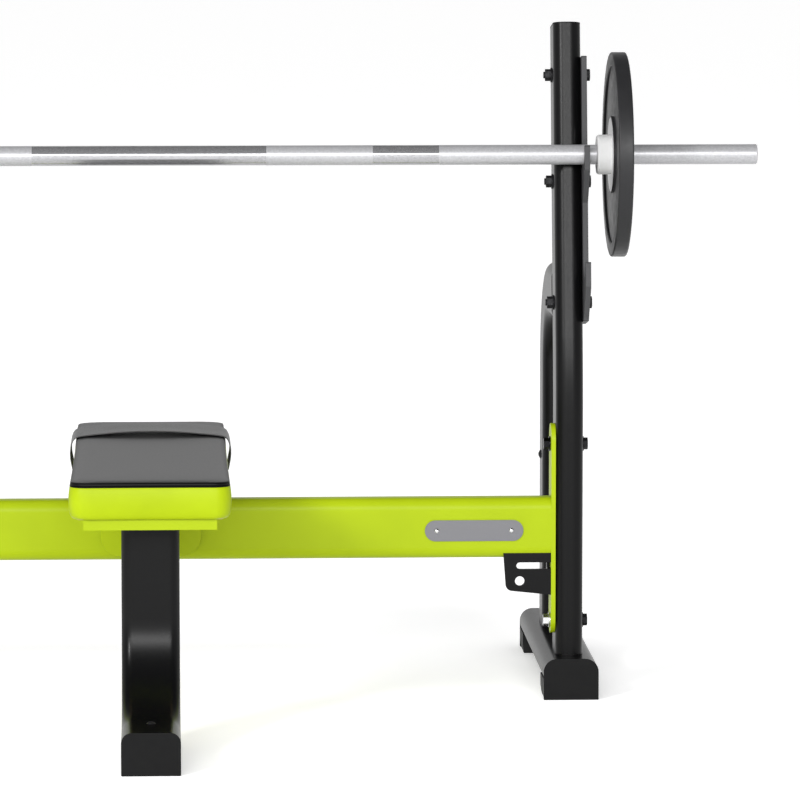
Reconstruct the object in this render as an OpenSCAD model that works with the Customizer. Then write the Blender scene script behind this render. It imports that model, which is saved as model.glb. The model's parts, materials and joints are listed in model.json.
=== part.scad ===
// Olympic bench press: flat bench, two leaning uprights with bar catches, loaded barbell.
// Frame: +X to the user's left-hand plate, +Y to the head end, +Z up, floor at z = 0.

/* [Overall] */
// Length of the frame from the foot cap to the back of the base tubes
frame_length = 1376; // [1300:1:1500]
// Thickness of the rubber between the tubes and the floor
sole_t = 3; // [2:0.5:5]
// Thickness of the plastic caps that close the tubes
cap_t = 3; // [2:0.5:5]
// Wall thickness of the steel tubes
wall = 3; // [2:0.5:4]

/* [Front leg] */
// Width of the front leg tube
leg_w = 100; // [90:1:110]
// Depth of the front leg tube in its plane of bending
leg_d = 70; // [60:1:75]
// Corner radius of the front leg tube
leg_corner = 18; // [10:1:20]
// Distance from the foot cap to the front face of the upright part of the leg
leg_setback = 270; // [250:5:300]
// Inner radius of the leg's bend
leg_bend = 150; // [120:5:170]
// Distance from the foot cap to the screw on top of the foot
foot_screw_setback = 95; // [60:1:105]

/* [Spine] */
// Width and height of the square spine tube under the pad
spine_w = 70; // [60:1:72]
// Width of the saddle plate that joins the spine to the cross beam
saddle_w = 180; // [160:5:200]
// Height of the saddle plate
saddle_h = 124; // [110:1:126]
// Thickness of the saddle plate
saddle_t = 8; // [5:1:10]
// Radius of the saddle plate's lower corners
saddle_corner = 36; // [10:1:40]

/* [Pad] */
// Length of the pad
pad_l = 936; // [900:1:980]
// Width of the pad
pad_w = 277; // [250:1:300]
// Height of the pad's top above the floor
pad_top = 471; // [460:1:480]
// Height of the pad's underside above the floor
pad_bottom = 406; // [404:1:410]
// Distance from the foot cap to the front of the pad
pad_setback = 180; // [170:1:190]
// Radius of the pad's corners in plan
pad_corner = 20; // [15:1:40]
// Thickness of the plywood board in the pad
board_t = 12; // [9:1:18]
// Distance of the board's edge inside the pad's edge
board_inset = 14; // [10:1:25]
// Width of the pad's two steel supports
support_w = 227; // [200:1:240]
// Thickness of the pad supports' steel
support_t = 5; // [3:1:6]
// Depth of the front support
front_support_d = 120; // [100:1:130]
// Depth of the rear support
rear_support_d = 100; // [60:1:120]

/* [Pad cover] */
// Distance from the foot cap to the cover's front edge
cover_setback = 841; // [780:1:860]
// Length of the cover along the pad
cover_l = 146; // [120:1:180]
// Thickness of the cover
cover_t = 2.5; // [2:0.5:4]
// Height of the cover's crown above the pad
cover_rise = 10; // [9:1:20]
// Height of the cover's shoulders above the pad
cover_shoulder = 3; // [3:1:7]
// How far the cover's sides bow out from the pad
cover_bow = 8; // [7:1:12]
// How far the cover's sides reach below the pad's top
cover_drop = 60; // [45:1:62]
// Gap between the cover's lower edges and the pad's sides
cover_gap = 0.2; // [0.1:0.1:1]

/* [Cross beam] */
// Half the length of the cross beam
beam_half = 727; // [700:1:727]
// Depth of the cross beam from front to back
beam_d = 60; // [50:1:70]
// Height of the cross beam
beam_h = 110; // [100:1:120]
// Height of the beam's underside above the floor
beam_z = 252; // [240:1:262]
// Corner radius of the beam
beam_corner = 20; // [12:1:24]
// Distance from the foot cap to the beam's front face
beam_setback = 798; // [795:1:806]
// Height of the end flange's lower end above the floor
flange_z = 111; // [100:1:115]
// Length of the end flange
flange_h = 385; // [380:1:392]

/* [Brackets] */
// Length of the slotted bracket under each end of the beam
bracket_l = 88; // [84:1:96]
// Thickness of the bracket
bracket_t = 6; // [4:1:8]
// Drop of the bracket below the beam at its outer end
bracket_drop = 69; // [65:1:75]
// Diameter of the round hole in the bracket
bracket_hole_d = 17.3; // [12:0.1:20]
// Height of the slot in the bracket
bracket_slot_h = 12; // [8:1:14]

/* [Uprights] */
// Distance from the centre plane to the middle of an upright
upright_x = 760; // [760:1:765]
// Width of the upright tubes
upright_w = 50; // [48:1:50]
// Depth of the upright tubes
upright_d = 100; // [90:1:105]
// Corner radius of the upright tubes
upright_corner = 20; // [8:1:22]
// Distance from the foot cap to the front face of an upright
upright_setback = 788; // [780:1:792]
// Height at which an upright starts to lean back
lean_start = 500; // [498:1:510]
// Bend radius on the upright's centre line
lean_radius = 925; // [880:5:950]
// Lean of the upper part of an upright from the vertical, in degrees
lean = 9.053; // [8.5:0.001:9.5]
// Length of the leaning straight part
lean_length = 574; // [560:1:590]

/* [Base and rear tubes] */
// Distance from the foot cap to the front of the base tubes
base_setback = 742; // [730:1:750]
// Width of the base tubes
base_w = 100; // [90:1:105]
// Height of the base tubes' own section
base_h = 50; // [50:1:70]
// Height of the base tubes' underside above the floor
base_z = 25; // [20:1:30]
// Corner radius of the base tubes
base_corner = 24; // [12:1:24]
// Length of the rubber boots under the base tubes
boot_l = 81; // [70:1:100]
// Height of the boots' sides above the floor
boot_h = 38; // [30:1:45]
// How far the boots' sides run in at the floor
boot_taper = 2.5; // [1:0.5:5]
// Distance from the foot cap to the rear tube's front face
rear_setback = 1121; // [1110:1:1130]
// Height of the rear tube's top face above the floor
rear_top = 774; // [760:1:780]
// Bend radius on the rear tube's centre line
rear_radius = 140; // [120:5:150]

/* [Bar catches] */
// Thickness of a catch plate
catch_t = 9.5; // [8:0.5:12]
// Distance along the leaning tube from the bend to the catch's lower end
catch_start = 31; // [28:1:34]
// Length of a catch plate along the tube
catch_l = 483; // [470:1:500]
// How far the catch's main edge stands ahead of the tube's front face
catch_ahead = 8; // [7:0.5:10]
// How far the catch reaches behind the tube's front face
catch_behind = 78; // [70:1:90]
// Radius of the throat that the bar drops into
throat_r = 22; // [21:0.5:23]
// Width of the lip in front of the bar
lip_w = 13; // [11:1:16]
// Height of the lip above the middle of the throat
lip_rise = 10; // [8:1:14]
// Distance between the upper and the lower throat along the tube
hook_pitch = 211; // [205:1:216]

/* [Barbell] */
// Diameter of the bar and of its sleeves
bar_d = 36; // [30:1:38]
// Length of the whole bar
bar_l = 2200; // [2150:1:2210]
// Half the length of the shaft between the sleeves
shaft_half = 809; // [806:1:812]
// Diameter of the spindles inside the sleeves
spindle_d = 25; // [22:1:26]
// Thickness of the collar at the inner end of a sleeve
collar_t = 25; // [20:1:30]
// Diameter of the collar
collar_d = 72; // [60:1:80]
// Clearance in radius between a spindle and its bushes
bush_gap = 0.05; // [0.02:0.01:0.1]
// Diameter of the holes in the sleeves for the bushes
sleeve_bore_d = 29; // [28:0.5:29.5]

/* [Weight plates] */
// Diameter of a weight plate
plate_d = 370; // [350:1:450]
// Thickness of a weight plate
plate_t = 27; // [24:1:30]
// Width of the plate's rim
plate_rim = 25; // [15:1:30]
// Depth of the recess on each face of the plate
plate_recess = 4.5; // [2:0.5:6]
// Diameter of the steel hub
hub_d = 134; // [100:1:140]
// Clearance in radius between the hub and the sleeve
hub_gap = 0.1; // [0.05:0.01:0.3]

/* [Fasteners and name plate] */
// Thread diameter of the frame's bolts
bolt_d = 12; // [10:1:12]
// Width of the bolt heads and nuts across the corners
hex_d = 22; // [20:0.5:23]
// Height of a bolt head
head_h = 7.5; // [6:0.5:8]
// Height of a nut
nut_h = 10; // [8:0.5:11]
// Diameter of the washers
washer_d = 27; // [24:0.5:28]
// Thickness of the washers
washer_t = 2.5; // [2:0.5:3]
// Length of the name plate
name_plate_l = 179; // [150:1:200]
// Height of the name plate
name_plate_h = 38; // [30:1:40]

/* [Hidden] */
$fn = 96;
front_y = -frame_length / 2;
leg_top = 388;
leg_y = leg_setback + leg_d / 2;
leg_radius = leg_bend + leg_d / 2;
leg_centre_z = sole_t + leg_d / 2;
saddle_y = beam_setback - saddle_t;
beam_y = beam_setback + beam_d / 2;
beam_mid_z = beam_z + beam_h / 2;
inner_face = upright_x - upright_w / 2;
outer_face = upright_x + upright_w / 2;
flange_t = inner_face - beam_half;
flange_mid_z = flange_z + flange_h / 2;
flange_bolt_pitch = 324;
flange_bolt_drop = 7;
upright_y = upright_setback + upright_d / 2;
base_top = base_z + base_h;
rear_y = rear_setback + upright_d / 2;
rear_run_z = rear_top - upright_d / 2;
// Where the leaning part of the upright starts, on its centre line
lean_y = upright_y + lean_radius * (1 - cos(lean));
lean_z = lean_start + lean_radius * sin(lean);
// Catch geometry across the tube (negative is forward) and along it
catch_front = -upright_d / 2 - catch_ahead;
throat_y = catch_front - throat_r;
lip_front = throat_y - throat_r - lip_w;
upper_throat = 335;
lower_throat = upper_throat - hook_pitch;
hook_under = 35;
hook_root = 90;
catch_bolts_at = [69, 290, 485];
// The bar rests in the upper throat
rest_gap = 0.3;
bar_r = bar_d / 2;
bar_y = lean_y + upper_throat * sin(lean) + throat_y * cos(lean);
bar_z = lean_z + upper_throat * cos(lean) - throat_y * sin(lean) - (throat_r - bar_r - rest_gap);
bolt_gap = 0.5;
small_bolt_d = 8;
small_hex_d = 15;
cap_plug = 20;
rear_bolts_z = [306, 399];
plate_x = shaft_half + collar_t;
bush_l = 30;
bush_ends = [shaft_half + 3, 1040];
ring_x = 1070.5;
ring_t = 2;
ring_groove_r = 11;
spindle_end = 1078;
end_cap_t = 4;
name_plate_x = 586.5;
name_plate_z = 303.5;
name_plate_t = 2;
name_screw_pitch = 136;
name_screw_d = 4;
pad_bolt_spots = [[-85, 230], [85, 230], [-85, 828], [85, 828]];
pad_bolt_shank = 7;

// ---- Shared shapes -------------------------------------------------------------------------

// y of a point that lies this far behind the foot cap
function back(distance) = front_y + distance;

module left() {
    mirror([1, 0, 0]) children();
}

module rounded_rect(w, d, r) {
    square([w - 2 * r, d], center = true);
    square([w, d - 2 * r], center = true);
    for (x = [-1, 1], y = [-1, 1])
        translate([x * (w / 2 - r), y * (d / 2 - r)]) circle(r);
}

// Section of a tube, or of its solid outside when the wall is 0
module tube_section(w, d, r, wall) {
    if (wall > 0)
        difference() {
            rounded_rect(w, d, r);
            rounded_rect(w - 2 * wall, d - 2 * wall, r - wall);
        }
    else
        rounded_rect(w, d, r);
}

// Tube along +z, w wide in x and d deep in y
module straight_tube(w, d, r, wall, length) {
    linear_extrude(height = length) tube_section(w, d, r, wall);
}

// Tube bent in the yz plane about the x axis, from the +y side up towards +z
module bent_tube(w, d, r, wall, radius, angle) {
    rotate([90, 0, 90])
        rotate_extrude(angle = angle) translate([radius, 0]) tube_section(d, w, r, wall);
}

// Plate of thickness t in x, drawn with y to the rear and z up
module side_plate(t) {
    rotate([90, 0, 90]) linear_extrude(height = t) children();
}

// Plate of thickness t in y behind its front face, drawn with x to the side and z up
module front_plate(t) {
    translate([0, t, 0]) rotate([90, 0, 0]) linear_extrude(height = t) children();
}

// Cylinder along +x from x = 0
module rod(d, length) {
    rotate([0, 90, 0]) cylinder(h = length, d = d);
}

module hex(length) {
    rotate([0, 90, 0]) cylinder(h = length, d = hex_d, $fn = 6);
}

// The frame of the leaning part of an upright: z along the tube, y across it
module lean_frame() {
    translate([upright_x, back(upright_y + lean_radius), lean_start])
        rotate([-lean, 0, 0]) translate([0, -lean_radius, 0]) children();
}

// End cap of a w by h tube whose underside is at z = low: its plate reaches the floor, and its plug
// fills the tube behind it
module floor_cap(w, h, corner, low, plug_l) {
    plug_w = w - 2 * wall;
    plug_h = h - 2 * wall;
    middle = low + h / 2;
    floor_corner = 2;
    front_plate(cap_t) {
        translate([0, middle]) rounded_rect(w, h, corner);
        translate([0, middle / 2]) rounded_rect(w, middle, floor_corner);
    }
    translate([0, cap_t, middle]) rotate([-90, 0, 0])
        straight_tube(plug_w, plug_h, corner - wall, wall, plug_l);
}

// ---- Front leg and spine -------------------------------------------------------------------

module front_leg() {
    color("#262626") difference() {
        union() {
            translate([0, back(cap_t), leg_centre_z]) rotate([-90, 0, 0])
                straight_tube(leg_w, leg_d, leg_corner, wall, leg_y - leg_radius - cap_t);
            translate([0, back(leg_y - leg_radius), leg_centre_z + leg_radius]) rotate([-90, 0, 0])
                bent_tube(leg_w, leg_d, leg_corner, wall, leg_radius, 90);
            translate([0, back(leg_y), leg_centre_z + leg_radius])
                straight_tube(leg_w, leg_d, leg_corner, wall, leg_top - leg_centre_z - leg_radius);
        }
        translate([0, back(foot_screw_setback), sole_t + leg_d / 2])
            cylinder(h = leg_d, d = small_bolt_d + bolt_gap);
    }
}

module front_foot_cap() {
    color("#1c1c1c") difference() {
        translate([0, front_y, 0])
            floor_cap(leg_w, leg_d, leg_corner, sole_t, foot_screw_setback + small_hex_d);
        translate([0, back(foot_screw_setback), sole_t + leg_d / 2])
            cylinder(h = leg_d, d = small_bolt_d);
    }
}

// Rubber strip under the foot, behind the cap
module front_foot_pad() {
    length = leg_y - leg_radius - cap_t;
    corner = 2;
    color("#141414") translate([0, back(cap_t + length / 2), 0])
        linear_extrude(height = sole_t) rounded_rect(leg_w - 2 * leg_corner, length, corner);
}

module front_foot_screw() {
    head_d = 16;
    dome_h = 4;
    dome_r = (pow(head_d / 2, 2) + pow(dome_h, 2)) / (2 * dome_h);
    foot_top = sole_t + leg_d;
    color("#2a2a2a") translate([0, back(foot_screw_setback), 0]) {
        translate([0, 0, foot_top]) intersection() {
            cylinder(h = dome_h, d = head_d);
            translate([0, 0, dome_h - dome_r]) sphere(dome_r);
        }
        translate([0, 0, foot_top - 2 * wall]) cylinder(h = 2 * wall, d = small_bolt_d);
    }
}

module spine_tube() {
    start = leg_setback + leg_d;
    color("#c1d61f") translate([0, back(start), leg_top - spine_w / 2]) rotate([-90, 0, 0])
        straight_tube(spine_w, spine_w, leg_corner / 2, wall, saddle_y - start);
}

module saddle_plate() {
    below_pad = 16;
    color("#c1d61f") translate([0, back(saddle_y), pad_bottom - support_t - saddle_h - below_pad])
        front_plate(saddle_t) {
            translate([0, saddle_corner + (saddle_h - saddle_corner) / 2])
                square([saddle_w, saddle_h - saddle_corner], center = true);
            translate([0, saddle_corner]) rounded_rect(saddle_w, 2 * saddle_corner, 0.98 * saddle_corner);
        }
}

// ---- Pad -----------------------------------------------------------------------------------

module pad_bolt_holes(d) {
    for (spot = pad_bolt_spots)
        translate([spot[0], back(spot[1]), pad_bottom - 2 * support_t])
            cylinder(h = 2 * support_t + pad_bolt_shank, d = d);
}

// Channel with its flanges down, standing on the leg and the spine
module pad_support_front() {
    depth = front_support_d;
    height = pad_bottom - leg_top;
    inset = 15;
    color("#b5cb1c") difference() {
        translate([-support_w / 2, back(pad_setback + inset), leg_top]) difference() {
            cube([support_w, depth, height]);
            translate([-1, support_t, -support_t])
                cube([support_w + 2, depth - 2 * support_t, height]);
        }
        pad_bolt_holes(small_bolt_d);
    }
}

// Plate on two webs, which are shaped to the top of the cross beam
module pad_support_rear() {
    web_x = 60;
    web_t = 6;
    web_h = pad_bottom - support_t - beam_mid_z;
    color("#b5cb1c") difference() {
        union() {
            translate([-support_w / 2, back(beam_y - rear_support_d / 2), pad_bottom - support_t])
                cube([support_w, rear_support_d, support_t]);
            for (x = [-web_x, web_x])
                translate([x - web_t / 2, back(beam_setback), beam_mid_z]) cube([web_t, beam_d, web_h]);
        }
        beam_solid();
        pad_bolt_holes(small_bolt_d);
    }
}

module board_outline(extra) {
    rounded_rect(pad_w - 2 * board_inset + extra, pad_l - 2 * board_inset + extra, pad_corner / 2);
}

module pad_board() {
    color("#c79a62") difference() {
        translate([0, back(pad_setback + pad_l / 2), pad_bottom])
            linear_extrude(height = board_t) board_outline(0);
        pad_bolt_holes(small_bolt_d);
    }
}

module pad_bolts() {
    small_head_h = 5;
    color("#303030") for (spot = pad_bolt_spots)
        translate([spot[0], back(spot[1]), pad_bottom - support_t]) {
            cylinder(h = support_t + pad_bolt_shank, d = small_bolt_d);
            translate([0, 0, -small_head_h]) cylinder(h = small_head_h, d = small_hex_d, $fn = 6);
        }
}

module pad_cushion() {
    color("#808080") translate([0, back(pad_setback + pad_l / 2), pad_bottom]) difference() {
        linear_extrude(height = pad_top - pad_bottom) rounded_rect(pad_w, pad_l, pad_corner);
        translate([0, 0, -1]) linear_extrude(height = board_t + 1) board_outline(0);
    }
}

// Outside of the cover's arch, shrunk by a margin; x across the bench and y up from the floor
module cover_outline(margin) {
    shoulder_x = pad_w / 2 - 1;
    sag = cover_rise - cover_shoulder;
    top_r = (pow(shoulder_x, 2) + pow(sag, 2)) / (2 * sag);
    side_h = (cover_drop + cover_shoulder) / 2;
    side_sag = cover_bow - cover_t;
    side_r = (pow(side_h, 2) + pow(side_sag, 2)) / (2 * side_sag);
    side_x = pad_w / 2 + cover_bow - side_r;
    intersection() {
        translate([0, pad_top + cover_rise - top_r]) circle(top_r - margin, $fn = 360);
        translate([-shoulder_x, pad_top - cover_drop]) square([2 * shoulder_x, 2 * cover_drop]);
    }
    for (x = [-side_x, side_x])
        intersection() {
            translate([x, pad_top + cover_shoulder - side_h]) circle(side_r - margin);
            translate([-pad_w, pad_top - cover_drop])
                square([2 * pad_w, cover_drop + cover_shoulder - margin]);
        }
}

module pad_cover() {
    color("#6f6f6f") translate([0, back(cover_setback), 0]) front_plate(cover_l) difference() {
        cover_outline(0);
        cover_outline(cover_t);
        translate([0, pad_top - cover_drop])
            square([pad_w + 2 * cover_gap, 2 * cover_drop - 1], center = true);
    }
}

// ---- Cross beam ----------------------------------------------------------------------------

module beam_solid() {
    translate([-beam_half, back(beam_y), beam_mid_z]) rotate([0, 90, 0])
        straight_tube(beam_h, beam_d, beam_corner, 0, 2 * beam_half);
}

module cross_beam() {
    color("#c1d61f") difference() {
        translate([-beam_half, back(beam_y), beam_mid_z]) rotate([0, 90, 0])
            straight_tube(beam_h, beam_d, beam_corner, wall, 2 * beam_half);
        name_plate_screw_places() cylinder(h = 2 * wall, d = name_screw_d);
    }
}

// Puts its children on the name plate's screws, with z towards the rear of the bench
module name_plate_screw_places() {
    for (x = [-1, 1])
        translate([name_plate_x + x * name_screw_pitch / 2, back(beam_setback), name_plate_z])
            rotate([-90, 0, 0]) children();
}

module name_plate() {
    color("#919196") difference() {
        translate([name_plate_x, back(beam_setback - name_plate_t), name_plate_z])
            front_plate(name_plate_t) {
                square([name_plate_l - name_plate_h, name_plate_h], center = true);
                for (x = [-1, 1])
                    translate([x * (name_plate_l - name_plate_h) / 2, 0]) circle(d = name_plate_h);
            }
        name_plate_screw_places() translate([0, 0, -2 * name_plate_t])
            cylinder(h = 4 * name_plate_t, d = name_screw_d);
    }
}

module name_plate_screws() {
    head_d = 9;
    dome_h = 2.5;
    dome_r = (pow(head_d / 2, 2) + pow(dome_h, 2)) / (2 * dome_h);
    color("#d0d0d0") name_plate_screw_places() translate([0, 0, -name_plate_t]) {
        cylinder(h = name_plate_t + 2 * wall, d = name_screw_d);
        intersection() {
            translate([0, 0, -dome_h]) cylinder(h = dome_h, d = head_d);
            translate([0, 0, dome_r - dome_h]) sphere(dome_r);
        }
    }
}

module flange_bolt_places() {
    for (z = [-1, 1])
        translate([0, back(beam_y), flange_mid_z + z * flange_bolt_pitch / 2 - flange_bolt_drop])
            children();
}

module beam_flange() {
    color("#c6dc22") difference() {
        translate([beam_half, back(beam_y), flange_mid_z]) side_plate(flange_t) {
            square([beam_d, flange_h - beam_d], center = true);
            for (z = [-1, 1])
                translate([0, z * (flange_h - beam_d) / 2]) circle(d = beam_d);
        }
        flange_bolt_places() translate([beam_half - 1, 0, 0]) rod(bolt_d + bolt_gap, flange_t + 2);
    }
}

module bracket_outline() {
    top = bracket_drop + beam_corner / 2;
    corner = 12;
    lean_in = 6;
    rise = 10;
    offset(r = corner) offset(delta = -corner)
        polygon([[0, top + corner], [lean_in, rise], [bracket_l + corner, 0],
                 [bracket_l + corner, top + corner]]);
}

// Slotted plate under the beam's end, with a fold along the flange
module beam_bracket() {
    start_x = beam_half - bracket_l;
    low_z = beam_z - bracket_drop;
    set_in = 3;
    fold_d = 40;
    fold_start = 2;
    slot_z = beam_z - 14;
    hole_x = 31;
    hole_z = 27;
    slot_start = 31;
    color("#202020") difference() {
        translate([start_x, back(beam_setback + set_in), low_z]) {
            intersection() {
                front_plate(bracket_t) bracket_outline();
                cube([bracket_l, bracket_t, bracket_drop + beam_corner / 2]);
            }
            translate([bracket_l - bracket_t, 0, fold_start])
                cube([bracket_t, fold_d, bracket_drop + bracket_t]);
        }
        beam_solid();
        translate([start_x + slot_start, back(beam_setback), slot_z - bracket_slot_h / 2])
            cube([bracket_l, beam_d / 2, bracket_slot_h]);
        translate([start_x + slot_start, back(beam_setback), slot_z]) rotate([-90, 0, 0])
            cylinder(h = beam_d / 2, d = bracket_slot_h);
        translate([start_x + hole_x, back(beam_setback), low_z + hole_z]) rotate([-90, 0, 0])
            cylinder(h = beam_d / 2, d = bracket_hole_d);
    }
}

// ---- Fasteners through the uprights --------------------------------------------------------

// Bolt through an upright along x: head and washer outside, shank to the inside
module through_bolt(head_x, end_x) {
    translate([end_x, 0, 0]) rod(bolt_d, head_x - end_x);
    translate([head_x, 0, 0]) rod(washer_d, washer_t);
    translate([head_x + washer_t, 0, 0]) hex(head_h);
}

// Washer and nut against the inside face at x, round a bolt
module inside_nut(x) {
    difference() {
        union() {
            translate([x - washer_t, 0, 0]) rod(washer_d, washer_t);
            translate([x - washer_t - nut_h, 0, 0]) hex(nut_h);
        }
        translate([x - washer_t - nut_h - 1, 0, 0]) rod(bolt_d, washer_t + nut_h + 2);
    }
}

module flange_bolts() {
    color("#181818") flange_bolt_places() through_bolt(outer_face, beam_half - washer_t - nut_h);
}

module flange_nuts() {
    color("#8a8a8a") flange_bolt_places() inside_nut(beam_half);
}

// Bolt centres along the leaning tube, with x still measured from the centre plane
module catch_bolt_places() {
    for (along = catch_bolts_at)
        lean_frame() translate([-upright_x, 0, along]) children();
}

module catch_bolts() {
    past_nut = 3;
    color("#181818") catch_bolt_places()
        through_bolt(outer_face + catch_t, inner_face - washer_t - nut_h - past_nut);
}

module catch_nuts() {
    color("#181818") catch_bolt_places() inside_nut(inner_face);
}

// ---- Uprights, base and rear tubes ---------------------------------------------------------

module upright_tube() {
    translate([upright_x, back(upright_y), base_top])
        straight_tube(upright_w, upright_d, upright_corner, wall, lean_start - base_top);
    translate([upright_x, back(upright_y + lean_radius), lean_start]) mirror([0, 1, 0])
        bent_tube(upright_w, upright_d, upright_corner, wall, lean_radius, lean);
    lean_frame() straight_tube(upright_w, upright_d, upright_corner, wall, lean_length);
}

module upright() {
    color("#3a3a3a") difference() {
        upright_tube();
        flange_bolt_places() translate([inner_face - 1, 0, 0]) rod(bolt_d + bolt_gap, upright_w + 2);
        catch_bolt_places() translate([inner_face - 1, 0, 0]) rod(bolt_d + bolt_gap, upright_w + 2);
    }
}

module upright_cap() {
    plug_w = upright_w - 2 * wall;
    plug_d = upright_d - 2 * wall;
    color("#1c1c1c") lean_frame() {
        translate([0, 0, lean_length])
            straight_tube(upright_w, upright_d, upright_corner, 0, cap_t);
        translate([0, 0, lean_length - cap_plug])
            straight_tube(plug_w, plug_d, upright_corner - wall, wall, cap_plug);
    }
}

module base_tube() {
    length = frame_length - base_setback - 2 * cap_t;
    color("#2c2c2c") translate([upright_x, back(base_setback + cap_t), base_z + base_h / 2])
        rotate([-90, 0, 0]) straight_tube(base_w, base_h, base_corner, wall, length);
}

module base_front_cap() {
    color("#1c1c1c") translate([upright_x, back(base_setback), 0])
        floor_cap(base_w, base_h, base_corner, base_z, cap_plug);
}

module base_rear_cap() {
    color("#1c1c1c") translate([upright_x, back(frame_length), 0]) mirror([0, 1, 0])
        floor_cap(base_w, base_h, base_corner, base_z, cap_plug);
}

// Rubber boots that carry the base tube near both of its ends
module base_boots() {
    half = base_w / 2;
    low_half = half - boot_taper;
    taper_h = 15;
    color("#161616") difference() {
        for (start = [base_setback + cap_t, frame_length - cap_t - boot_l])
            translate([upright_x, back(start), 0]) front_plate(boot_l)
                polygon([[-low_half, 0], [low_half, 0], [half, taper_h], [half, boot_h],
                         [-half, boot_h], [-half, taper_h]]);
        translate([upright_x, back(base_setback), base_z + base_h / 2]) rotate([-90, 0, 0])
            straight_tube(base_w, base_h, base_corner, 0, frame_length);
    }
}

// Stands on the base, bends forward and ends square against the back of the leaning upright
module rear_tube() {
    w = upright_w;
    d = upright_d;
    bend_z = rear_run_z - rear_radius;
    bend_y = rear_y - rear_radius;
    reach = 2 * d;
    color("#303030") difference() {
        union() {
            translate([upright_x, back(rear_y), base_top])
                straight_tube(w, d, upright_corner, wall, bend_z - base_top);
            translate([upright_x, back(bend_y), bend_z])
                bent_tube(w, d, upright_corner, wall, rear_radius, 90);
            translate([upright_x, back(lean_y), rear_run_z]) rotate([-90, 0, 0])
                straight_tube(w, d, upright_corner, wall, bend_y - lean_y);
        }
        lean_frame() translate([-w, d / 2 - reach, -d]) cube([2 * w, reach, lean_length]);
        for (z = rear_bolts_z)
            translate([inner_face - 1, back(rear_y), z]) rod(small_bolt_d + bolt_gap, w + 2);
    }
}

// Dome-headed bolts through the rear tube, with nuts on the outside
module rear_tube_bolts() {
    head_d = 17.5;
    dome_h = 5;
    small_nut_h = 6.5;
    past_nut = 1.5;
    dome_r = (pow(head_d / 2, 2) + pow(dome_h, 2)) / (2 * dome_h);
    color("#181818") for (z = rear_bolts_z)
        translate([inner_face, back(rear_y), z]) {
            intersection() {
                translate([-dome_h, 0, 0]) rod(head_d, dome_h);
                translate([dome_r - dome_h, 0, 0]) sphere(dome_r);
            }
            rod(small_bolt_d, upright_w + small_nut_h + past_nut);
            translate([upright_w, 0, 0]) rotate([0, 90, 0])
                cylinder(h = small_nut_h, d = small_hex_d, $fn = 6);
        }
}

// ---- Bar catches ---------------------------------------------------------------------------

// Hook below a throat: lip in front, sloping underside; y across the tube and z along it
module hook_outline(throat) {
    polygon([[catch_front + 1, throat - hook_root], [lip_front, throat - hook_under],
             [lip_front, throat + lip_rise], [catch_front + 1, throat + lip_rise]]);
}

module catch_outline() {
    round_r = 4;
    width = catch_behind + catch_ahead;
    offset(r = round_r) offset(delta = -round_r) difference() {
        union() {
            translate([catch_front, catch_start]) square([width, catch_l]);
            for (throat = [lower_throat, upper_throat]) hook_outline(throat);
        }
        for (throat = [lower_throat, upper_throat])
            translate([throat_y - throat_r, throat]) square([2 * throat_r, 2 * throat_r]);
    }
}

module bar_catch() {
    color("#484848") difference() {
        lean_frame() translate([upright_w / 2, 0, 0]) difference() {
            side_plate(catch_t) catch_outline();
            for (throat = [lower_throat, upper_throat])
                translate([-1, throat_y, throat]) rod(2 * throat_r, catch_t + 2);
        }
        catch_bolt_places() translate([outer_face - 1, 0, 0]) rod(bolt_d + bolt_gap, catch_t + 2);
    }
}

// ---- Barbell -------------------------------------------------------------------------------

// Puts the bar's axis on the x axis of its children
module on_bar() {
    translate([0, back(bar_y), bar_z]) children();
}

module bar_shaft() {
    shaft_l = 2 * (shaft_half - rest_gap);
    color("#c9c9cc") on_bar() difference() {
        union() {
            translate([-shaft_l / 2, 0, 0]) rod(bar_d, shaft_l);
            translate([-spindle_end, 0, 0]) rod(spindle_d, 2 * spindle_end);
        }
        for (x = [-ring_x - ring_t, ring_x])
            translate([x, 0, 0]) difference() {
                rod(spindle_d + 2, ring_t);
                translate([-1, 0, 0]) rod(2 * ring_groove_r, ring_t + 2);
            }
    }
}

// Sleeve with a shallow groove just outside the fitted plate
module sleeve() {
    length = bar_l / 2 - end_cap_t - shaft_half;
    groove_w = 2;
    groove_depth = 0.5;
    groove_start = collar_t + plate_t + groove_depth;
    color("#c9c9cc") on_bar() translate([shaft_half, 0, 0]) difference() {
        rod(bar_d, length);
        translate([-1, 0, 0]) rod(sleeve_bore_d, length + 2);
        translate([groove_start, 0, 0]) difference() {
            rod(bar_d + 2, groove_w);
            translate([-1, 0, 0]) rod(bar_d - 2 * groove_depth, groove_w + 2);
        }
    }
}

module sleeve_collar() {
    chamfer = 2.5;
    color("#e1e1e1") on_bar() translate([shaft_half, 0, 0]) rotate([0, 90, 0]) rotate_extrude()
        polygon([[bar_r, 0], [collar_d / 2 - chamfer, 0], [collar_d / 2, chamfer],
                 [collar_d / 2, collar_t], [bar_r, collar_t]]);
}

module sleeve_bushes() {
    color("#b08d57") on_bar() for (x = bush_ends)
        translate([x, 0, 0]) difference() {
            rod(sleeve_bore_d, bush_l);
            translate([-1, 0, 0]) rod(spindle_d + 2 * bush_gap, bush_l + 2);
        }
}

module snap_ring() {
    color("#707070") on_bar() translate([ring_x, 0, 0]) difference() {
        rod(sleeve_bore_d - 2 * rest_gap, ring_t);
        translate([-1, 0, 0]) rod(2 * ring_groove_r, ring_t + 2);
    }
}

module sleeve_end_cap() {
    chamfer = 1.5;
    plug_l = 12;
    color("#c4c4c8") on_bar() translate([bar_l / 2, 0, 0]) rotate([0, -90, 0]) rotate_extrude()
        polygon([[0, 0], [bar_r - chamfer, 0], [bar_r, chamfer], [bar_r, end_cap_t],
                 [sleeve_bore_d / 2, end_cap_t], [sleeve_bore_d / 2, end_cap_t + plug_l],
                 [0, end_cap_t + plug_l]]);
}

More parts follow.
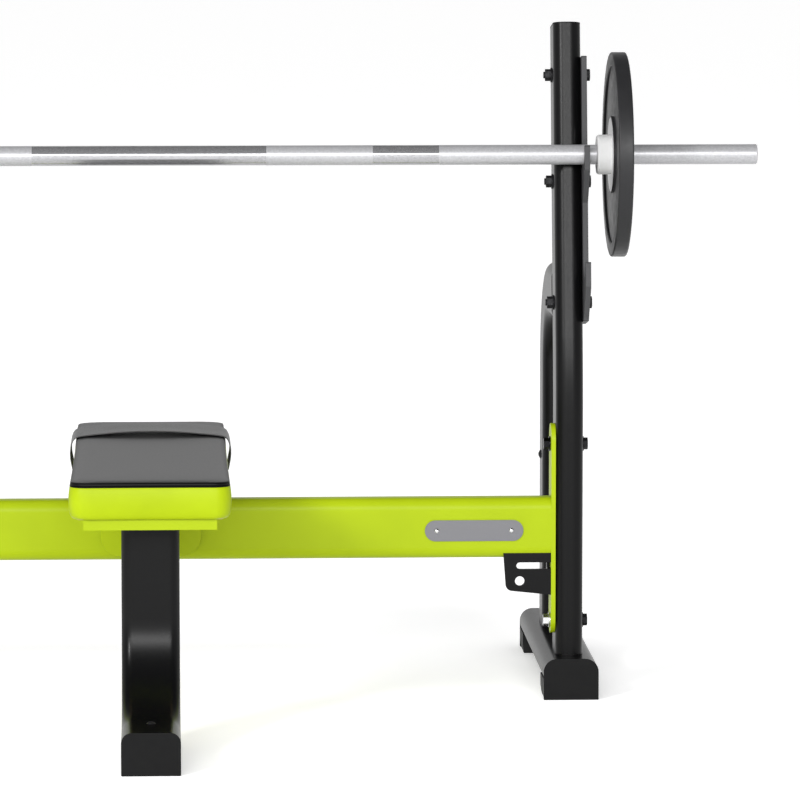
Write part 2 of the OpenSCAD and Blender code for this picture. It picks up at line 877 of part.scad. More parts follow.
module weight_plate() {
    rim_r = 3;
    boss_w = 2.5;
    color("#303030") on_bar() translate([plate_x, 0, 0]) rotate([0, 90, 0]) rotate_extrude($fn = 180) {
        translate([plate_d / 2 - plate_rim / 2, plate_t / 2]) rounded_rect(plate_rim, plate_t, rim_r);
        translate([hub_d / 2, plate_recess])
            square([plate_d / 2 - plate_rim - hub_d / 2 + rim_r, plate_t - 2 * plate_recess]);
        translate([hub_d / 2, 0]) square([boss_w, plate_t]);
    }
}

module plate_hub() {
    color("#c8c8c8") on_bar() translate([plate_x, 0, 0]) difference() {
        rod(hub_d, plate_t);
        translate([-1, 0, 0]) rod(bar_d + 2 * hub_gap, plate_t + 2);
    }
}

// ---- Nodes ---------------------------------------------------------------------------------

front_leg();
front_foot_cap();
front_foot_pad();
front_foot_screw();
spine_tube();
saddle_plate();
pad_support_front();
pad_support_rear();
pad_board();
pad_bolts();
pad_cushion();
pad_cover();
cross_beam();
name_plate();
name_plate_screws();
left() beam_flange();  // beam_flange_left
beam_flange();  // beam_flange_right
left() beam_bracket();  // beam_bracket_left
beam_bracket();  // beam_bracket_right
left() flange_bolts();  // flange_bolts_left
flange_bolts();  // flange_bolts_right
left() flange_nuts();  // flange_nuts_left
flange_nuts();  // flange_nuts_right
left() base_tube();  // base_tube_left
base_tube();  // base_tube_right
left() base_front_cap();  // base_front_cap_left
base_front_cap();  // base_front_cap_right
left() base_rear_cap();  // base_rear_cap_left
base_rear_cap();  // base_rear_cap_right
left() base_boots();  // base_boots_left
base_boots();  // base_boots_right
left() upright();  // upright_left
upright();  // upright_right
left() upright_cap();  // upright_cap_left
upright_cap();  // upright_cap_right
left() rear_tube();  // rear_tube_left
rear_tube();  // rear_tube_right
left() rear_tube_bolts();  // rear_tube_bolts_left
rear_tube_bolts();  // rear_tube_bolts_right
left() bar_catch();  // bar_catch_left
bar_catch();  // bar_catch_right
left() catch_bolts();  // catch_bolts_left
catch_bolts();  // catch_bolts_right
left() catch_nuts();  // catch_nuts_left
catch_nuts();  // catch_nuts_right
bar_shaft();
left() sleeve();  // sleeve_left
sleeve();  // sleeve_right
left() sleeve_collar();  // sleeve_collar_left
sleeve_collar();  // sleeve_collar_right
left() sleeve_bushes();  // sleeve_bushes_left
sleeve_bushes();  // sleeve_bushes_right
left() snap_ring();  // snap_ring_left
snap_ring();  // snap_ring_right
left() sleeve_end_cap();  // sleeve_end_cap_left
sleeve_end_cap();  // sleeve_end_cap_right
left() weight_plate();  // weight_plate_left
weight_plate();  // weight_plate_right
left() plate_hub();  // plate_hub_left
plate_hub();  // plate_hub_right
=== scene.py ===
"""Looks, light and camera for the olympic bench press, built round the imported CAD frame."""

import json
import math

import bmesh
import bpy
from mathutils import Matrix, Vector


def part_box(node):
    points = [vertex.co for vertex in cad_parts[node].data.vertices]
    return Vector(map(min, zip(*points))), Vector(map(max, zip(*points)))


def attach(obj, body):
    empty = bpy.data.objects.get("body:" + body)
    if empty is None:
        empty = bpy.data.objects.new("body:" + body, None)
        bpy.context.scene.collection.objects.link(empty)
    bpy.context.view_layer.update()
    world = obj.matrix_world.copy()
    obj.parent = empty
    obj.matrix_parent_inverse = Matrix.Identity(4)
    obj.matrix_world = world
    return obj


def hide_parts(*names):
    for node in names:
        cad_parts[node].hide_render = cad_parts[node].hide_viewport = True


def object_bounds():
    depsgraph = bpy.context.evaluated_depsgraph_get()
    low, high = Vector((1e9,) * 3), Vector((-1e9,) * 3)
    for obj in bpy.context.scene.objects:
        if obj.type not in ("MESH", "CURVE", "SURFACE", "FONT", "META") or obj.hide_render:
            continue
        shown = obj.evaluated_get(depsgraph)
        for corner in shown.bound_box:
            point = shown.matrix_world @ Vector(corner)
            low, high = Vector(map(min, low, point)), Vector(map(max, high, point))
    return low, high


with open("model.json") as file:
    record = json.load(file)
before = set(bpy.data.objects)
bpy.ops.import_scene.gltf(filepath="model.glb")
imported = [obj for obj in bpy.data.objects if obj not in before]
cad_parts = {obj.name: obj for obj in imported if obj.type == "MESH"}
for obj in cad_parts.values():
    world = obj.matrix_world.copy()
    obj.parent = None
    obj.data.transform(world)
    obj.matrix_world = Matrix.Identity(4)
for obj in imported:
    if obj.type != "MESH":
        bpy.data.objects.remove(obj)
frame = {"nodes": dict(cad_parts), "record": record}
CAD_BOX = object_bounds()
NODES = frame["nodes"]
MM = 0.001


# ---- Camera ----------------------------------------------------------------------------------

CAMERA_DISTANCE = 8.60  # in front of the foot cap
CAMERA_RIGHT = 0.022
CAMERA_HEIGHT = 1.556
AIM_RIGHT = 0.4152  # the view is centred right of the bench
AIM_HEIGHT = 0.6289
LENS_MM = 235.1


def make_camera():
    front = CAD_BOX[0][1]
    data = bpy.data.cameras.new("camera")
    camera = bpy.data.objects.new("camera", data)
    bpy.context.scene.collection.objects.link(camera)
    data.sensor_width = 36.0
    data.lens = LENS_MM
    data.clip_end = 500.0
    camera.location = (CAMERA_RIGHT, front - CAMERA_DISTANCE, CAMERA_HEIGHT)
    aim = Vector((AIM_RIGHT, front, AIM_HEIGHT)) - camera.location
    camera.rotation_euler = aim.to_track_quat("-Z", "Y").to_euler()
    bpy.context.scene.camera = camera


make_camera()


# ---- Materials -------------------------------------------------------------------------------


class Finish:
    """A Principled material whose colour, roughness and relief vary with noise in object space."""

    def __init__(self, name, colour, roughness, **sockets):
        self.material = bpy.data.materials.new(name)
        self.material.use_nodes = True
        self.tree = self.material.node_tree
        self.shader = self.tree.nodes["Principled BSDF"]
        self.coords = self.tree.nodes.new("ShaderNodeTexCoord").outputs["Object"]
        self.colour = colour
        self.set("Base Color", (*colour, 1.0))
        self.set("Roughness", roughness)
        for socket, value in sockets.items():
            self.set(socket.replace("_", " "), value)
        self.normal = None

    def set(self, socket, value):
        self.shader.inputs[socket].default_value = value

    def link(self, a, b):
        self.tree.links.new(a, b)

    def stretched(self, stretch):
        if stretch == (1, 1, 1):
            return self.coords
        mapping = self.tree.nodes.new("ShaderNodeMapping")
        mapping.inputs["Scale"].default_value = stretch
        self.link(self.coords, mapping.inputs["Vector"])
        return mapping.outputs["Vector"]

    def noise(self, scale, detail=3.0, stretch=(1, 1, 1)):
        noise = self.tree.nodes.new("ShaderNodeTexNoise")
        noise.inputs["Scale"].default_value = scale
        noise.inputs["Detail"].default_value = detail
        self.link(self.stretched(stretch), noise.inputs["Vector"])
        return noise.outputs["Fac"]

    def cells(self, scale, stretch=(1, 1, 1)):
        cells = self.tree.nodes.new("ShaderNodeTexVoronoi")
        cells.feature = "F1"
        cells.inputs["Scale"].default_value = scale
        self.link(self.stretched(stretch), cells.inputs["Vector"])
        return cells.outputs["Distance"]

    def math(self, operation, a, b=0.0):
        node = self.tree.nodes.new("ShaderNodeMath")
        node.operation = operation
        for value, socket in ((a, node.inputs[0]), (b, node.inputs[1])):
            if isinstance(value, (int, float)):
                socket.default_value = value
            else:
                self.link(value, socket)
        return node.outputs[0]

    def spread(self, source, low, high, from_low=0.3, from_high=0.7):
        """Maps a texture's usual range onto low to high."""
        node = self.tree.nodes.new("ShaderNodeMapRange")
        node.inputs["From Min"].default_value = from_low
        node.inputs["From Max"].default_value = from_high
        node.inputs["To Min"].default_value = low
        node.inputs["To Max"].default_value = high
        self.link(source, node.inputs["Value"])
        return node.outputs["Result"]

    def axis(self, index):
        split = self.tree.nodes.new("ShaderNodeSeparateXYZ")
        self.link(self.coords, split.inputs[0])
        return split.outputs[index]

    def mix(self, factor, first, second):
        """Colour between two colours or colour sockets."""
        node = self.tree.nodes.new("ShaderNodeMix")
        node.data_type = "RGBA"
        self.link(factor, node.inputs["Factor"])
        for value, socket in ((first, node.inputs[6]), (second, node.inputs[7])):
            if isinstance(value, tuple):
                socket.default_value = (*value, 1.0)
            else:
                self.link(value, socket)
        return node.outputs[2]

    def vary_colour(self, scale, amount, detail=3.0, stretch=(1, 1, 1)):
        darker = tuple(c * (1 - amount) for c in self.colour)
        lighter = tuple(min(1.0, c * (1 + amount)) for c in self.colour)
        factor = self.spread(self.noise(scale, detail, stretch), 0.0, 1.0)
        self.paint(self.mix(factor, darker, lighter))
        return self

    def paint(self, socket):
        self.link(socket, self.shader.inputs["Base Color"])

    def vary_roughness(self, scale, low, high, detail=3.0, stretch=(1, 1, 1)):
        fac = self.spread(self.noise(scale, detail, stretch), low, high)
        self.link(fac, self.shader.inputs["Roughness"])
        return self

    def relief(self, height, depth):
        """Adds a bump of this depth in metres on top of the bumps so far."""
        bump = self.tree.nodes.new("ShaderNodeBump")
        bump.inputs["Strength"].default_value = 1.0
        bump.inputs["Distance"].default_value = depth
        self.link(height, bump.inputs["Height"])
        if self.normal is not None:
            self.link(self.normal, bump.inputs["Normal"])
        self.normal = bump.outputs["Normal"]
        self.link(self.normal, self.shader.inputs["Normal"])
        return self


def powder_coat(name, colour, roughness):
    """Powder coat: fine orange peel, and a gloss that drifts a little."""
    finish = Finish(name, colour, roughness, Specular_IOR_Level=0.14)
    finish.vary_colour(6.0, 0.05)
    finish.vary_roughness(220.0, roughness - 0.02, roughness + 0.02)
    finish.relief(finish.noise(420.0, 2.0), 0.00003)
    return finish


def moulded_plastic(name, colour, roughness):
    finish = Finish(name, colour, roughness, Specular_IOR_Level=0.13)
    finish.vary_colour(14.0, 0.12)
    finish.vary_roughness(60.0, roughness - 0.05, roughness + 0.07)
    finish.relief(finish.cells(1500.0), 0.00005)
    return finish


def upholstery_vinyl(name, colour, roughness, specular):
    """Vinyl with a leather grain: cells a millimetre or two across and finer noise between them."""
    finish = Finish(name, colour, roughness, Specular_IOR_Level=specular)
    finish.vary_colour(9.0, 0.07)
    finish.vary_roughness(300.0, roughness - 0.02, roughness + 0.02)
    finish.relief(finish.cells(620.0), 0.00002)
    finish.relief(finish.noise(1700.0, 2.0), 0.00001)
    return finish


def pad_vinyl(name, colour, top):
    """Upholstery vinyl whose flat top is glossier than its rolled edge below height top. Its colour carries
    painted light: the flat top is painted lighter as a painted sheen, and the rolled edge and sides below it
    are painted near black as a painted shade.
    """
    finish = upholstery_vinyl(name, colour, 0.42, 0.9)
    height = finish.axis(2)
    finish.link(finish.spread(height, 0.1, 0.9, top - 1.6 * MM, top - 0.2 * MM),
                finish.shader.inputs["Specular IOR Level"])
    # painted sheen and shade: near black on the rolled edge and sides, the lighter colour only on the flat
    # top
    factor = finish.spread(height, 0.0, 1.0, top - 1.6 * MM, top - 0.2 * MM)
    finish.paint(finish.mix(factor, BLACK, colour))
    return finish


def coated_fabric(name, colour):
    """Tight plain weave under a thin coating."""
    finish = Finish(name, colour, 0.45, Specular_IOR_Level=0.85, Sheen_Weight=0.05)
    finish.vary_colour(12.0, 0.1)
    thread = 0.0011
    waves = []
    for index in (0, 1):
        across = finish.math("MULTIPLY", finish.axis(index), 2 * math.pi / thread)
        waves.append(finish.math("SINE", across))
    weave = finish.math("MULTIPLY", waves[0], waves[1])
    finish.relief(weave, 0.00003)
    finish.relief(finish.noise(260.0, 3.0), 0.00003)
    return finish


def black_oxide(name, colour):
    finish = Finish(name, colour, 0.42, Metallic=0.2, Specular_IOR_Level=0.12)
    finish.vary_colour(220.0, 0.35)
    finish.vary_roughness(300.0, 0.34, 0.52)
    finish.relief(finish.noise(900.0, 2.0), 0.00004)
    return finish


def two_tone_nuts(name, colour, height):
    """Pale zinc below this height and black oxide above it."""
    finish = zinc(name, colour)
    high = finish.math("GREATER_THAN", finish.axis(2), height)
    finish.paint(finish.mix(high, colour, (0.012, 0.012, 0.013)))
    return finish


def zinc(name, colour):
    finish = Finish(name, colour, 0.3, Metallic=1.0)
    finish.vary_colour(260.0, 0.1)
    finish.vary_roughness(400.0, 0.24, 0.38)
    return finish


POLISHED_MIDDLE = 0.211  # half-length of the polished band in the middle of the bar
GRIP_RING = (0.403, 0.523)  # polished band inside each grip, from the middle
KNURL_END = 0.62
KNURL_PITCH = 0.0022
KNURL_TURNS = 26.0


def knurled_chrome(name, colour):
    """Satin chrome bar with polished bands at the middle and in the grips, and knurling between them."""
    finish = zinc(name, colour)
    away = finish.math("ABSOLUTE", finish.axis(0))
    grip = finish.math("GREATER_THAN", away, POLISHED_MIDDLE)
    past = finish.math("GREATER_THAN", away, GRIP_RING[0])
    before = finish.math("LESS_THAN", away, GRIP_RING[1])
    ring = finish.math("MULTIPLY", past, before)
    satin = finish.math("MULTIPLY", grip, finish.math("SUBTRACT", 1.0, ring))
    knurled = finish.math("MULTIPLY", satin, finish.math("LESS_THAN", away, KNURL_END))
    slant = []
    for direction in (1, -1):
        turn = finish.math("ARCTAN2", finish.axis(1), finish.axis(2))
        turn = finish.math("MULTIPLY", turn, KNURL_TURNS * direction)
        run = finish.math("MULTIPLY", finish.axis(0), 2 * math.pi / KNURL_PITCH)
        slant.append(finish.math("SINE", finish.math("ADD", turn, run)))
    diamonds = finish.math("MULTIPLY", finish.math("MAXIMUM", slant[0], slant[1]), knurled)
    finish.relief(diamonds, 0.000012)
    finish.link(finish.spread(satin, 0.16, 0.38, 0.0, 1.0), finish.shader.inputs["Roughness"])
    finish.link(finish.spread(satin, 0.75, 0.4, 0.0, 1.0), finish.shader.inputs["Metallic"])
    return finish


def brushed_metal(name, colour, roughness, stretch):
    """Fine scratches drawn out along the axis with the smallest stretch."""
    finish = Finish(name, colour, roughness, Metallic=1.0)
    finish.vary_colour(900.0, 0.08, 2.0, stretch)
    finish.vary_roughness(1400.0, roughness - 0.05, roughness + 0.08, 2.0, stretch)
    finish.relief(finish.noise(1600.0, 2.0, stretch), 0.00002)
    return finish


def rubber(name, colour, roughness):
    finish = Finish(name, colour, roughness, Specular_IOR_Level=0.25)
    finish.vary_colour(18.0, 0.1)
    finish.vary_roughness(50.0, roughness - 0.05, roughness + 0.05)
    finish.relief(finish.noise(700.0, 3.0), 0.00006)
    return finish


def birch_plywood(name):
    """Long soft grain along the board, and the darker layers on its edge."""
    finish = Finish(name, (0.52, 0.34, 0.18), 0.6)
    grain = finish.spread(finish.noise(22.0, 5.0, (9.0, 0.7, 1.0)), 0.0, 1.0)
    layer = finish.math("SINE", finish.math("MULTIPLY", finish.axis(2), 2 * math.pi / 0.0028))
    dark = finish.spread(layer, 0.0, 1.0, 0.5, 1.0)
    wood = finish.mix(grain, (0.44, 0.27, 0.13), (0.62, 0.43, 0.25))
    finish.paint(finish.mix(finish.math("MULTIPLY", dark, 0.35), wood, (0.2, 0.11, 0.05)))
    finish.relief(grain, 0.00015)
    return finish


LIME = (0.265, 0.345, 0.0015)
BLACK = (0.0022, 0.0022, 0.0024)


def make_looks():
    looks = {
        "black_paint": powder_coat("black_powder_coat", BLACK, 0.30),
        "catch_paint": powder_coat("catch_powder_coat", (0.05, 0.05, 0.052), 0.5),
        "lime_paint": powder_coat("lime_powder_coat", LIME, 0.4),
        "black_plastic": moulded_plastic("black_moulding", (0.0022, 0.0022, 0.0024), 0.4),
        "boot_rubber": rubber("boot_rubber", (0.007, 0.007, 0.0075), 0.6),
        "pad_vinyl": pad_vinyl("black_vinyl_painted_sheen_and_shade", (0.018, 0.018, 0.0185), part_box("pad_cushion")[1][2]),
        "lime_vinyl": upholstery_vinyl("lime_vinyl", LIME, 0.45, 0.12),
        "cover_sheet": coated_fabric("cover_fabric", (0.012, 0.012, 0.0125)),
        "plywood": birch_plywood("birch_plywood"),
        "name_plate_metal": brushed_metal("name_plate_metal", (0.15, 0.15, 0.158), 0.4, (1, 1, 12)),
        "black_fastener": black_oxide("black_oxide", (0.012, 0.012, 0.013)),
        "zinc_fastener": two_tone_nuts("zinc_plate", (0.62, 0.62, 0.63), 0.4),
        "bar_chrome": knurled_chrome("bar_chrome", (0.36, 0.36, 0.372)),
        "collar_white": moulded_plastic("collar_enamel", (0.42, 0.42, 0.42), 0.35),
        "bush_bronze": brushed_metal("bush_bronze", (0.45, 0.30, 0.12), 0.35, (12, 1, 1)),
        "plate_rubber": rubber("plate_rubber", (0.014, 0.014, 0.015), 0.42),
        "hub_steel": brushed_metal("hub_steel", (0.86, 0.86, 0.86), 0.42, (1, 1, 1)),
    }
    return {name: look.material for name, look in looks.items()}


LOOKS = make_looks()
BEVELS = {
    "front_leg": 0.8, "spine_tube": 0.8, "saddle_plate": 2.2, "pad_support": 1.0, "cross_beam": 0.5,
    "beam_flange": 2.2, "beam_bracket": 0.9, "base_tube": 0.6, "base_front_cap": 1.3, "base_rear_cap": 1.3,
    "front_foot_cap": 1.3, "base_boots": 1.4, "upright_cap": 1.1, "bar_catch": 1.1, "name_plate": 0.5,
    "weight_plate": 0.8, "plate_hub": 0.5, "sleeve_collar": 0.8, "flange_bolts": 0.6, "flange_nuts": 0.6,
    "catch_bolts": 0.6, "catch_nuts": 0.6, "pad_bolts": 0.5, "rear_tube_bolts": 0.4, "pad_board": 0.8,
}


def bevel_width(node):
    fits = [name for name in BEVELS if node.startswith(name)]
    return BEVELS[max(fits, key=len)] * MM if fits else 0.0


def finish_cad_nodes():
    slots = {part["node"]: part["material_slot"] for part in frame["record"]["subparts"]}
    for name, node in NODES.items():
        node.data.materials.clear()
        node.data.materials.append(LOOKS[slots[name]])
        width = bevel_width(name)
        if width:
            bevel = node.modifiers.new("edges", "BEVEL")
            bevel.width = width
            bevel.segments = 3
            bevel.limit_method = "ANGLE"
            bevel.angle_limit = math.radians(40)
            bevel.harden_normals = True


finish_cad_nodes()


# ---- Upholstery ------------------------------------------------------------------------------

PAD_LOW, PAD_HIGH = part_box("pad_cushion")
PAD_HALF_X = (PAD_HIGH[0] - PAD_LOW[0]) / 2
PAD_HALF_Y = (PAD_HIGH[1] - PAD_LOW[1]) / 2
PAD_MIDDLE = ((PAD_HIGH[0] + PAD_LOW[0]) / 2, (PAD_HIGH[1] + PAD_LOW[1]) / 2)
PAD_CORNER = 20 * MM
SIDE_PULL = 1.5 * MM  # how far the sides pull in between the corners
CORNER_STEPS = 8
LONG_STEPS = 52
SHORT_STEPS = 14
FILL_FRAMES = 20
ROLL = 5 * MM  # radius of the top's rolled edge
ROLL_INSET = 7.8 * MM
ROLL_DEGREES = (-18, 0, 22, 45, 68, 90)
TOP_INSETS = (14, 22, 32, 44, 58, 72, 86, 100, 112, 122, 130, 136)
RING = 4 * (CORNER_STEPS + 1) + 2 * (LONG_STEPS - 1) + 2 * (SHORT_STEPS - 1)


def pad_outline(outset):
    """Plan outline of the pad moved outwards by outset; every outline has RING points."""
    half_x, half_y = PAD_HALF_X + outset, PAD_HALF_Y + outset
    radius = max(PAD_CORNER + outset, 0.2 * half_x)
    corners = ((1, -1, -90), (1, 1, 0), (-1, 1, 90), (-1, -1, 180))
    points = []
    for number, (side_x, side_y, start) in enumerate(corners):
        centre = (side_x * (half_x - radius), side_y * (half_y - radius))
        for step in range(CORNER_STEPS + 1):
            angle = math.radians(start + 90 * step / CORNER_STEPS)
            points.append((centre[0] + radius * math.cos(angle), centre[1] + radius * math.sin(angle)))
        along_y = number % 2 == 0
        steps = LONG_STEPS if along_y else SHORT_STEPS
        first = points[-1]
        for step in range(1, steps):
            part = step / steps
            pull = -SIDE_PULL * math.sin(math.pi * part) * min(1.0, half_x / PAD_HALF_X)
            if along_y:
                run = 2 * (half_y - radius) * side_x * part
                points.append((first[0] + side_x * pull, first[1] + run))
            else:
                run = 2 * (half_x - radius) * -side_y * part
                points.append((first[0] + run, first[1] + side_y * pull))
    return [(x + PAD_MIDDLE[0], y + PAD_MIDDLE[1]) for x, y in points]


def add_piece(name, vertices, faces, look, slot):
    mesh = bpy.data.meshes.new(name)
    mesh.from_pydata(vertices, [], faces)
    tidy = bmesh.new()
    tidy.from_mesh(mesh)
    bmesh.ops.recalc_face_normals(tidy, faces=tidy.faces)
    tidy.to_mesh(mesh)
    tidy.free()
    mesh.materials.append(LOOKS[look])
    mesh.polygons.foreach_set("use_smooth", [True] * len(mesh.polygons))
    piece = bpy.data.objects.new(name, mesh)
    bpy.context.scene.collection.objects.link(piece)
    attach(piece, "frame")
    return piece


def flat_lid(base):
    """Faces that close a ring of the pad's outline: strips across it, and one face at each end."""
    right = CORNER_STEPS
    left = 3 * CORNER_STEPS + LONG_STEPS + SHORT_STEPS
    faces = []
    for step in range(LONG_STEPS):
        pairs = (right + step, right + step + 1, left + LONG_STEPS - step - 1, left + LONG_STEPS - step)
        faces.append([base + place % RING for place in pairs])
    faces.append([base + place % RING for place in range(right + LONG_STEPS, left + 1)])
    faces.append([base + place % RING for place in range(left + LONG_STEPS, RING + right + 1)])
    return faces


def pad_loft(profile, closed):
    """Sweeps (outset, height) pairs round the pad: a closed tube, or a body with lids on both ends."""
    vertices = [(x, y, height) for outset, height in profile for x, y in pad_outline(outset)]
    faces = []
    for ring in range(len(profile) if closed else len(profile) - 1):
        low, high = ring * RING, (ring + 1) % len(profile) * RING
        for place in range(RING):
            after = (place + 1) % RING
            faces.append([low + place, low + after, high + after, high + place])
    if not closed:
        faces += flat_lid(0) + flat_lid((len(profile) - 1) * RING)
    return vertices, faces


def swell(piece, held, limit, pressure=4.0):
    """Fills the piece like a cushion: its loose cloth swells by at most limit, its held cloth stays."""
    vertices = piece.data.vertices
    before = [vertex.co.copy() for vertex in vertices]
    group = piece.vertex_groups.new(name="held")
    group.add(held, 1.0, "REPLACE")
    cloth = piece.modifiers.new("fill", "CLOTH")
    cloth.settings.vertex_group_mass = "held"
    cloth.settings.use_pressure = True
    cloth.settings.uniform_pressure_force = pressure
    cloth.settings.effector_weights.gravity = 0.0
    cloth.settings.tension_stiffness = cloth.settings.compression_stiffness = 40.0
    cloth.point_cache.frame_start, cloth.point_cache.frame_end = 1, FILL_FRAMES
    scene = bpy.context.scene
    for number in range(1, FILL_FRAMES + 1):
        scene.frame_set(number)
    filled = piece.evaluated_get(bpy.context.evaluated_depsgraph_get()).data
    after = [vertex.co.copy() for vertex in filled.vertices]
    piece.modifiers.remove(cloth)
    scene.frame_set(1)
    kept = set(held)
    for number, (old, new) in enumerate(zip(before, after)):
        moved = new - old
        if number not in kept and moved.length > 1e-7:
            vertices[number].co = old + moved * (limit * math.tanh(moved.length / limit) / moved.length)


def subdivide(piece):
    smooth = piece.modifiers.new("smooth", "SUBSURF")
    smooth.levels = smooth.render_levels = 1


def make_pad_top():
    """The black foam top on the board, with a rolled edge above the seam."""
    board_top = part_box("pad_board")[1][2] + 0.3 * MM
    top = PAD_HIGH[2]
    profile = [(-14.3 * MM, board_top), (-14.3 * MM, top - 33 * MM), (-14.3 * MM, top - 15 * MM),
               (-6.5 * MM, top - 8.8 * MM), (-4.5 * MM, top - 8 * MM)]
    for degrees in ROLL_DEGREES:
        angle = math.radians(degrees)
        profile.append((ROLL * math.cos(angle) - ROLL_INSET, top + ROLL * math.sin(angle) - ROLL))
    roll_rings = len(profile)
    for inset in TOP_INSETS:
        crown = 1.2 * MM * (1 - (1 - inset / 138) ** 2)
        profile.append((-inset * MM, top + crown))
    piece = add_piece("pad_top", *pad_loft(profile, False), "pad_vinyl", "pad_vinyl")
    held = list(range((roll_rings - 2) * RING))
    swell(piece, held, 1.2 * MM)
    subdivide(piece)
    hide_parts("pad_cushion")
    return piece


def make_pad_band():
    """The lime band round the pad's side, tucked under the board and into the seam."""
    shape = ((-13.6, 0), (-11, 0), (-6.5, 1.2), (-3, 5), (-1.2, 12), (-0.4, 21), (0, 30), (-0.2, 38),
             (-0.9, 47), (-2.2, 55), (-4, 56.8), (-6, 55.5), (-13.8, 49), (-13.8, 12))
    profile = [(outset * MM, PAD_LOW[2] + height * MM) for outset, height in shape]
    piece = add_piece("pad_band", *pad_loft(profile, True), "lime_vinyl", "pad_vinyl")
    held = [ring * RING + place for ring in (0, 1, 2, 9, 10, 11, 12, 13) for place in range(RING)]
    swell(piece, held, 0.6 * MM)
    subdivide(piece)
    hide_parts("pad_cushion")


def tube_along(path, radius, sides, closed, upright=(0, 0, 1)):
    """Round cord through path, with its rings square to it; the path never runs along upright."""
    vertices, faces = [], []
    count = len(path)
    for number, point in enumerate(path):
        before = path[(number - 1) % count] if closed or number else point
        after = path[(number + 1) % count] if closed or number < count - 1 else point
        along = (Vector(after) - Vector(before)).normalized()
        side = along.cross(Vector(upright)).normalized()
        up = side.cross(along)
        for step in range(sides):
            angle = 2 * math.pi * step / sides
            vertices.append(Vector(point) + radius * (math.cos(angle) * side + math.sin(angle) * up))
    for ring in range(count if closed else count - 1):
        low, high = ring * sides, (ring + 1) % count * sides
        for step in range(sides):
            after = (step + 1) % sides
            faces.append([low + step, low + after, high + after, high + step])
    if not closed:
        faces += [list(range(sides)), list(range((count - 1) * sides, count * sides))]
    return vertices, faces


def make_piping():
    path = [(x, y, PAD_HIGH[2] - 8.4 * MM) for x, y in pad_outline(-3.3 * MM)]
    add_piece("pad_piping", *tube_along(path, 1.2 * MM, 8, True), "pad_vinyl", "pad_vinyl")


def curve_point(p, q, r, s, t):
    """Catmull-Rom value between q and r."""
    bend = (2 * p - 5 * q + 4 * r - s) * t ** 2
    return 0.5 * (2 * q + (r - p) * t + bend + (3 * q - p - 3 * r + s) * t ** 3)


def smooth_through(points, steps):
    """Smooth curve through 2-D points, with steps pieces between neighbours."""
    ends = [points[0], *points, points[-1]]
    curve = []
    for a, b, c, d in zip(ends, ends[1:], ends[2:], ends[3:]):
        for step in range(steps):
            curve.append(tuple(curve_point(*four, step / steps) for four in zip(a, b, c, d)))
    return curve + [points[-1]]


COVER_THICK = 1.6 * MM
COVER_LOW, COVER_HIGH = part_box("pad_cover")


def cover_profile():
    """Across the cover: it stands off the pad in the middle, rests on its edges and hangs past its sides."""
    crown = COVER_HIGH[2] - COVER_THICK / 2
    half = COVER_HIGH[0] - COVER_THICK / 2
    right = ((0, 2.5), (30, 1.9), (60, 0.3), (90, -2.2), (112, -4.4), (128, -6.4), (136.5, -9.4),
             (141, -14.4), (143.8, -22), (145.3, -31), (half / MM, -39), (144.9, -49), (143.2, -58),
             (141.2, -68))
    side = [(x * MM, crown + z * MM) for x, z in right]
    return smooth_through([(-x, z) for x, z in reversed(side[1:])] + side, 3)


def cover_sheet(profile, start, end, steps):
    """Grid over the profile from y = start to y = end, with slow soft waves."""
    vertices = []
    for row in range(steps + 1):
        y = start + (end - start) * row / steps
        for column, (x, z) in enumerate(profile):
            before, after = profile[max(column - 1, 0)], profile[min(column + 1, len(profile) - 1)]
            along = Vector((after[0] - before[0], after[1] - before[1])).normalized()
            hang = max(0.0, (abs(x) / COVER_HIGH[0]) ** 6)
            side_wave = 0.5 * MM * math.sin(y * 70 + x * 9)
            top_wave = 0.35 * MM * math.sin(y * 46 + 1.3)
            wave = side_wave * hang + top_wave * (1 - hang)
            vertices.append((x - along.y * wave, y, z + along.x * wave))
    wide = len(profile)
    faces = [[row * wide + c, row * wide + c + 1, (row + 1) * wide + c + 1, (row + 1) * wide + c]
             for row in range(steps) for c in range(wide - 1)]
    return vertices, faces


def thicken(piece, thickness):
    solid = piece.modifiers.new("thickness", "SOLIDIFY")
    solid.thickness = thickness
    solid.offset = 0.0


def make_cover():
    profile = cover_profile()
    start, end = COVER_LOW[1] + 1 * MM, COVER_HIGH[1] - 1 * MM
    grid = cover_sheet(profile, start, end, 30)
    sheet = add_piece("pad_wear_cover", *grid, "cover_sheet", "cover_sheet")
    thicken(sheet, COVER_THICK)
    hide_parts("pad_cover")


SADDLE_CORNER = 36 * MM  # as in the part
WELD_STEPS = 12


def make_saddle_weld():
    """Fillet of weld round the saddle plate's sides and rounded lower corners, on the beam's face."""
    low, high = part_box("saddle_plate")
    corner = SADDLE_CORNER
    face = high[1] - 0.4 * MM
    drop = high[2] - low[2] - corner
    path = [(low[0], face, high[2] - drop * step / WELD_STEPS) for step in range(WELD_STEPS)]
    for side, start in ((low[0] + corner, 180), (high[0] - corner, 270)):
        for step in range(WELD_STEPS + 1):
            angle = math.radians(start + 90 * step / WELD_STEPS)
            height = low[2] + corner + corner * math.sin(angle)
            path.append((side + corner * math.cos(angle), face, height))
    path += [(high[0], face, high[2] - drop + drop * step / WELD_STEPS) for step in range(1, WELD_STEPS + 1)]
    tube = tube_along(path, 1.3 * MM, 8, False, (0, 1, 0))
    add_piece("saddle_weld", *tube, "lime_paint", "lime_paint")


make_saddle_weld()
PAD_TOP = make_pad_top()
make_pad_band()
make_piping()
make_cover()


# ---- Stage and light -------------------------------------------------------------------------


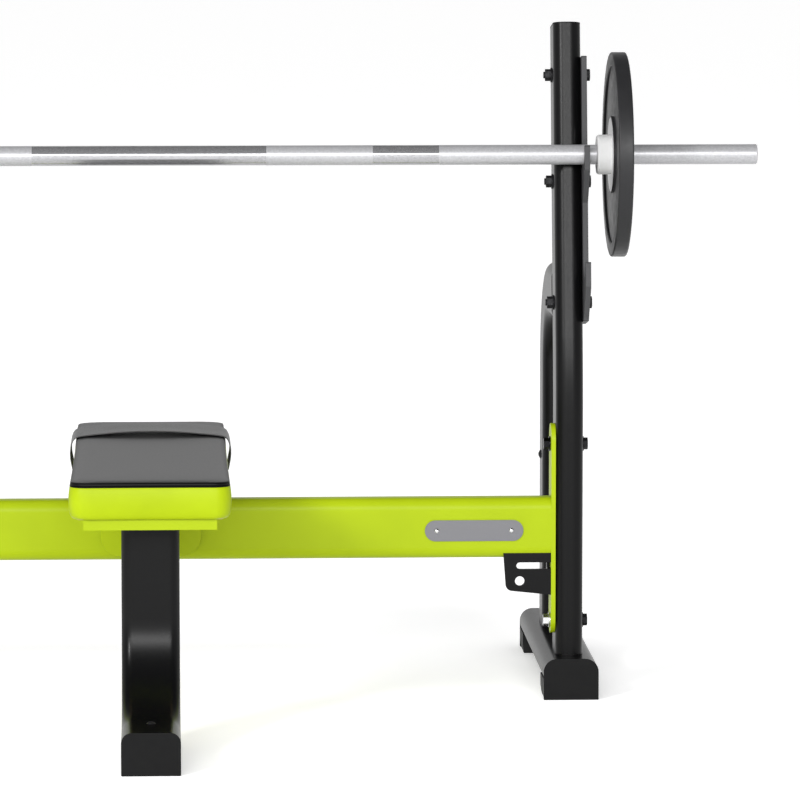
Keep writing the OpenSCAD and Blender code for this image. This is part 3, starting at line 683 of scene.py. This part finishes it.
def make_stage():
    half = 300.0
    mesh = bpy.data.meshes.new("floor")
    corners = [(-half, -half, 0), (half, -half, 0), (half, half, 0), (-half, half, 0)]
    mesh.from_pydata(corners, [], [(0, 1, 2, 3)])
    floor = bpy.data.objects.new("floor", mesh)
    bpy.context.scene.collection.objects.link(floor)
    pale = Finish("pale_floor", (0.93, 0.93, 0.93), 0.9, Specular_IOR_Level=0.0, Emission_Strength=0.28)
    pale.set("Emission Color", (1.0, 1.0, 1.0, 1.0))
    mesh.materials.append(pale.material)


def make_world():
    """White studio walls that darken towards the ceiling."""
    world = bpy.data.worlds.new("studio")
    bpy.context.scene.world = world
    world.use_nodes = True
    nodes, links = world.node_tree.nodes, world.node_tree.links
    background = nodes["Background"]
    coords = nodes.new("ShaderNodeTexCoord")
    split = nodes.new("ShaderNodeSeparateXYZ")
    ramp = nodes.new("ShaderNodeValToRGB")
    links.new(coords.outputs["Generated"], split.inputs[0])
    links.new(split.outputs["Z"], ramp.inputs["Fac"])
    links.new(ramp.outputs["Color"], background.inputs["Color"])
    stops = ((0.0, 1.0), (0.3, 0.85), (0.6, 0.12), (1.0, 0.07))
    while len(ramp.color_ramp.elements) < len(stops):
        ramp.color_ramp.elements.new(0.5)
    for element, (place, level) in zip(ramp.color_ramp.elements, stops):
        element.position = place
        element.color = (level, level, level, 1.0)
    background.inputs["Strength"].default_value = 0.9


def soft_light(name, place, aim, size, power):
    data = bpy.data.lights.new(name, "AREA")
    data.shape = "RECTANGLE"
    data.size, data.size_y = size
    data.energy = power
    light = bpy.data.objects.new(name, data)
    bpy.context.scene.collection.objects.link(light)
    light.location = place
    light.rotation_euler = (Vector(aim) - Vector(place)).to_track_quat("-Z", "Y").to_euler()


def soft_sun(name, direction, spread, strength):
    """Light of a large ceiling, too broad to be seen as a shape in a reflection."""
    data = bpy.data.lights.new(name, "SUN")
    data.angle = math.radians(spread)
    data.energy = strength
    light = bpy.data.objects.new(name, data)
    bpy.context.scene.collection.objects.link(light)
    light.rotation_euler = Vector(direction).to_track_quat("-Z", "Y").to_euler()
    light.visible_glossy = False


make_stage()
make_world()
soft_light("front_high", (0.0, -14.0, 4.4), (0.0, 0.0, 0.8), (9.0, 2.4), 1350.0)
soft_light("key_left", (-5.5, -8.0, 4.5), (0.1, 0.0, 0.4), (1.6, 1.6), 620.0)
soft_sun("ceiling", (0.15, 0.35, -1.0), 100.0, 1.75)
bpy.context.scene.view_settings.view_transform = "Standard"
